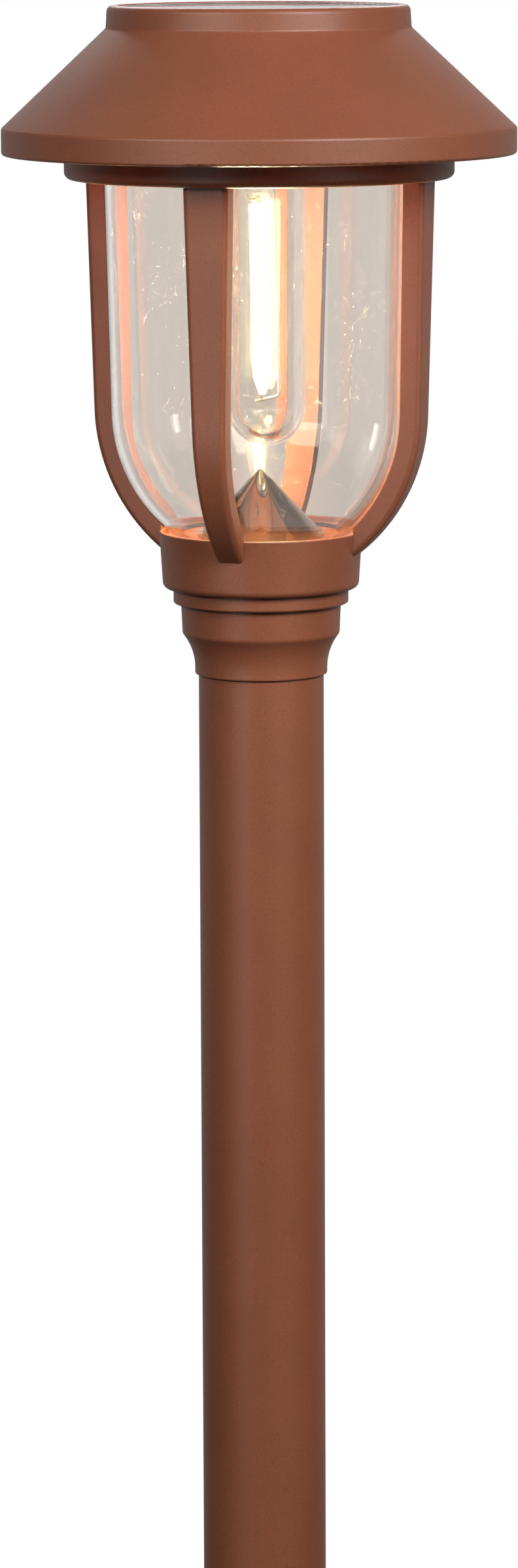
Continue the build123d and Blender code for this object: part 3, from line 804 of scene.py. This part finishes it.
@dataclass
class SolarCap:
    """The roof, its solar panel and the plate that closes it from below."""

    body_paint: StonePaint
    window: ClearWall = ClearWall(Colour(246, 247, 247), film=0.3)
    cell: SolarCell = SolarCell()
    backing: PrintedBoard = PrintedBoard(Colour(20, 22, 34), Colour(44, 46, 62))
    screws: BrightMetal = BrightMetal(Colour(160, 158, 154), roughness=0.32)
    knob: MouldedPlastic = MouldedPlastic(Colour(26, 26, 27), roughness=0.5)
    sealant: MouldedPlastic = MouldedPlastic(Colour(92, 90, 88), roughness=0.35, grain_size=1.6 * MM)
    bead_width: float = 0.8 * MM
    bead_height: float = 0.45 * MM
    bead_segments: int = 180
    bead_sides: int = 10
    bead_sway: float = 0.03 * MM
    sway_seed: int = 4
    smooth_share: float = 0.5
    smooth_rounds: int = 2

    def build(self) -> None:
        """Dresses the cap and lays the sealant round its window."""
        # The cap's paint arrives 3% darker than the other terracotta, as painted shade on the roof
        dress(self.body_paint.make("shaded_cap_paint"), "roof", "base_plate", "battery_hatch")
        dress(self.window.make("panel_window"), "panel_cover")
        dress(self.cell.make("solar_cell"), "solar_cells")
        dress(self.backing.make("panel_backing"), "solar_panel")
        dress(self.screws.make("cap_screws"), "base_plate_screws", "hatch_screw", "board_screws")
        dress(self.knob.make("switch_black"), "switch_body", "switch_knob")
        self.lay_sealant()

    def lay_sealant(self) -> None:
        """A bead of sealant in the groove between the window's edge and the roof's rim."""
        low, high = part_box("panel_cover")
        deselect()
        bpy.ops.mesh.primitive_torus_add(major_radius=(high.x - low.x) / 2, minor_radius=self.bead_width / 2,
                                         major_segments=self.bead_segments, minor_segments=self.bead_sides,
                                         location=(0.0, 0.0, high.z))
        piece = bpy.context.object
        bpy.ops.object.mode_set(mode="EDIT")
        bpy.ops.mesh.select_all(action="SELECT")
        bpy.ops.transform.resize(value=(1.0, 1.0, self.bead_height / self.bead_width))
        bpy.ops.transform.vertex_random(offset=self.bead_sway, seed=self.sway_seed)
        bpy.ops.mesh.vertices_smooth(factor=self.smooth_share, repeat=self.smooth_rounds)
        bpy.ops.object.mode_set(mode="OBJECT")
        settle(piece, "window_sealant", self.sealant.make("window_sealant"), Body.CAP)


@dataclass
class Electronics:
    """The rechargeable cell, the board and the leads inside the roof."""

    wrap: MouldedPlastic = MouldedPlastic(Colour(42, 104, 72), roughness=0.35)
    contact: BrightMetal = BrightMetal(Colour(204, 198, 186), roughness=0.25)
    board: PrintedBoard = PrintedBoard(Colour(28, 92, 54), Colour(62, 132, 82))
    chip: MouldedPlastic = MouldedPlastic(Colour(30, 30, 31), roughness=0.5)
    red: MouldedPlastic = MouldedPlastic(Colour(176, 32, 28), roughness=0.45)
    black: MouldedPlastic = MouldedPlastic(Colour(28, 28, 28), roughness=0.45)

    def build(self) -> None:
        """Dresses the inner pieces."""
        dress(self.wrap.make("cell_wrap"), "battery")
        dress(self.contact.make("contact_nickel"), "battery_contacts")
        dress(self.board.make("board_green"), "circuit_board")
        dress(self.chip.make("component_black"), "board_parts")
        dress(self.red.make("lead_red"), "red_leads")
        dress(self.black.make("lead_black"), "black_leads")


@dataclass(frozen=True)
class Softbox:
    """One soft area lamp that faces a point on the object's axis, with its angles in degrees."""

    name: str
    azimuth: float
    elevation: float
    distance: float
    width: float
    height: float
    power: float
    aim: float = 0.72
    use: LampUse = LampUse.ALL

    def hang(self) -> None:
        """Adds the lamp to the scene."""
        turn = math.radians(self.azimuth)
        rise = math.radians(self.elevation)
        away = Vector((math.sin(turn) * math.cos(rise), -math.cos(turn) * math.cos(rise), math.sin(rise)))
        data = bpy.data.lights.new(self.name, "AREA")
        data.shape = "RECTANGLE"
        data.size = self.width
        data.size_y = self.height
        data.energy = self.power
        lamp = bpy.data.objects.new(self.name, data)
        lamp.location = Vector((0.0, 0.0, self.aim)) + away * self.distance
        lamp.rotation_euler = away.to_track_quat("Z", "Y").to_euler()
        lamp.visible_diffuse = self.use is not LampUse.SHEEN
        bpy.context.scene.collection.objects.link(lamp)
        LOG.info("hung %s", self.name)


@dataclass
class Studio:
    """The floor, the white surroundings, the lamps and the camera, with angles in degrees."""

    azimuth: float = 17.6
    reach: float = 1.4422
    height: float = 0.8075
    tilt: float = 9.23
    yaw: float = 0.028
    roll: float = -0.24
    lens: float = 130.66
    sight: float = 120.0
    ambient: float = 0.06
    behind: float = 0.34
    behind_band: Band = (0.2, 0.95)
    backdrop_fade: float = 0.25
    backdrop_end: float = 0.5
    strip_turns: tuple[float, ...] = (76.0, 116.0)
    strip_half: float = 2.2
    strip_edge: float = 1.3
    strip_low: float = 4.0
    strip_high: float = 15.0
    strip_glare: float = 11.0
    floor_half: float = 30.0
    floor_pale: Colour = Colour(240, 240, 240)
    floor_glow: float = 0.55
    floor_dim: Colour = Colour(70, 66, 62)
    floor_roughness: float = 0.9
    shadow_band: Band = (0.315, 0.9)
    sweep_band: Band = (0.5, 2.0)
    lamps: tuple[Softbox, ...] = (
        Softbox("key_softbox", azimuth=52.0, elevation=27.0, distance=1.1,
                width=0.70, height=0.40, power=9.8),
        Softbox("fill_softbox", azimuth=-18.0, elevation=20.0, distance=1.1,
                width=0.80, height=0.34, power=4.9),
        Softbox("side_softbox", azimuth=70.0, elevation=14.0, distance=1.1,
                width=0.40, height=0.30, power=1.4),
        Softbox("rear_softbox", azimuth=199.0, elevation=42.0, distance=1.6,
                width=1.00, height=0.60, power=13.0, aim=0.45),
        Softbox("left_card", azimuth=-16.0, elevation=-14.0, distance=1.33,
                width=0.60, height=0.22, power=1.1, use=LampUse.SHEEN),
        Softbox("right_card", azimuth=56.0, elevation=-6.5, distance=1.3,
                width=0.60, height=0.35, power=0.6, use=LampUse.SHEEN),
    )

    def build(self) -> None:
        """Sets up everything round the object."""
        self.lay_floor()
        self.light_surroundings()
        for lamp in self.lamps:
            lamp.hang()
        self.place_camera()
        bpy.context.scene.view_settings.view_transform = "Standard"

    def lay_floor(self) -> None:
        """Lays a wide level floor under the spike."""
        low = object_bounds()[0]
        deselect()
        bpy.ops.mesh.primitive_plane_add(size=2 * self.floor_half, location=(0.0, 0.0, low.z))
        floor = bpy.context.object
        bpy.ops.object.transform_apply(location=True)
        floor.name = "floor"
        floor.data.materials.append(self.floor_material())
        floor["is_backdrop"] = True

    def floor_material(self) -> bpy.types.Material:
        """A pale floor that takes the shadow, turns plain white further out, and throws little light up.

        Returns:
            The material, which is not sampled as a lamp.
        """
        graph = MaterialGraph("floor_pale")
        dim = graph.principled(base_color=self.floor_dim.linear(), roughness=self.floor_roughness,
                               specular=0.0)
        pale = graph.principled(base_color=self.floor_pale.linear(), roughness=self.floor_roughness,
                                specular=0.0, emission_color=WHITE, emission_strength=self.floor_glow)
        level = graph.stretched((1.0, 1.0, 0.0))
        out = graph.node("ShaderNodeVectorMath", {"operation": "LENGTH"}, {0: level}, "Value")
        shown = graph.mix_shader(graph.ramp(out, *self.shadow_band), pale, graph.emission(1.0))
        back = graph.ramp(self.ahead(graph, graph.place()), *self.sweep_band)
        hidden = graph.mix_shader(back, dim, graph.emission(self.behind))
        seen = graph.seen_straight().either(graph.seen_by_glass())
        material = graph.done(graph.mix_shader(seen, hidden, shown))
        material.cycles.emission_sampling = "NONE"
        return material

    def light_surroundings(self) -> None:
        """White where it is seen, in glass up to the backdrop's top, and a soft even light elsewhere."""
        world = bpy.data.worlds.new("studio")
        world.use_nodes = True
        bpy.context.scene.world = world
        graph = Graph(world.node_tree)
        way = graph.node("ShaderNodeTexCoord", output="Generated")
        rise = graph.node("ShaderNodeSeparateXYZ", sockets={0: way}, output="Z")
        backdrop = graph.ramp(rise, self.backdrop_end, self.backdrop_fade)
        lifted = graph.ramp(self.ahead(graph, way), *self.behind_band) * backdrop
        soft = graph.background(self.ambient + lifted * (self.behind - self.ambient))
        glass = graph.seen_by_glass()
        white = graph.seen_straight().either(glass * backdrop)
        lit = graph.mix_shader(white, soft, graph.background(1.0))
        strip = graph.background(self.strip_glare)
        shown = graph.mix_shader(glass * self.strips(graph, way, rise), lit, strip)
        graph.output(shown, "ShaderNodeOutputWorld")

    def strips(self, graph: Graph, way: Wire, rise: Wire) -> Wire:
        """The upright strip lights at the sides of the studio, which only clear walls mirror.

        Args:
            graph: The surroundings' node tree.
            way: The direction that is looked in.
            rise: Its upward part.

        Returns:
            1 inside a strip, 0 elsewhere.
        """
        turn = math.radians(self.azimuth)
        across = graph.dot(way, (math.cos(turn), math.sin(turn), 0.0))
        side = abs(graph.math("ARCTAN2", across, 0.0 - self.ahead(graph, way)))
        half = math.radians(self.strip_half)
        inside = 0.0
        for angle in self.strip_turns:
            inside = inside + graph.ramp(abs(side - math.radians(angle)), half * self.strip_edge, half)
        low = math.sin(math.radians(self.strip_low))
        high = math.sin(math.radians(self.strip_high))
        return inside * (rise > low) * (rise < high)

    def ahead(self, graph: Graph, place: Wire) -> Wire:
        """How far a place or a direction lies to the back of the picture, along the camera's level line."""
        turn = math.radians(self.azimuth)
        return graph.dot(place, (-math.sin(turn), math.cos(turn), 0.0))

    def place_camera(self) -> None:
        """The camera, at the viewing angle of a product picture that crops the pole."""
        turn = math.radians(self.azimuth)
        data = bpy.data.cameras.new("camera")
        data.lens = self.lens
        data.clip_end = self.sight
        camera = bpy.data.objects.new("camera", data)
        camera.location = (math.sin(turn) * self.reach, -math.cos(turn) * self.reach, self.height)
        heading = Matrix.Rotation(turn + math.radians(self.yaw), 3, "Z")
        pitch = Matrix.Rotation(math.radians(90.0 - self.tilt), 3, "X")
        lean = Matrix.Rotation(math.radians(self.roll), 3, "Z")
        camera.rotation_euler = (heading @ pitch @ lean).to_euler()
        bpy.context.scene.collection.objects.link(camera)
        bpy.context.scene.camera = camera


def main() -> None:
    """Builds and dresses every sub-assembly, then the studio."""
    logging.basicConfig(level=logging.INFO, format="%(message)s")
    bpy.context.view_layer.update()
    terracotta = Colour(150, 87, 61)
    satin_paint = StonePaint(terracotta)
    glossier_paint = StonePaint(terracotta, shine=0.60)
    # The roof's paint is the same terracotta 3% darker: painted shade that keeps the upward-facing roof from
    # coming out lighter than the walls under these lamps
    shaded_roof_paint = StonePaint(terracotta.lit(0.97), shine=0.60)
    PoleStack(satin_paint).build()
    Lantern(satin_paint, glossier_paint).build()
    Jar().build()
    Lamp().build()
    SolarCap(shaded_roof_paint).build()
    Electronics().build()
    Studio().build()


if __name__ == "__main__":
    main()
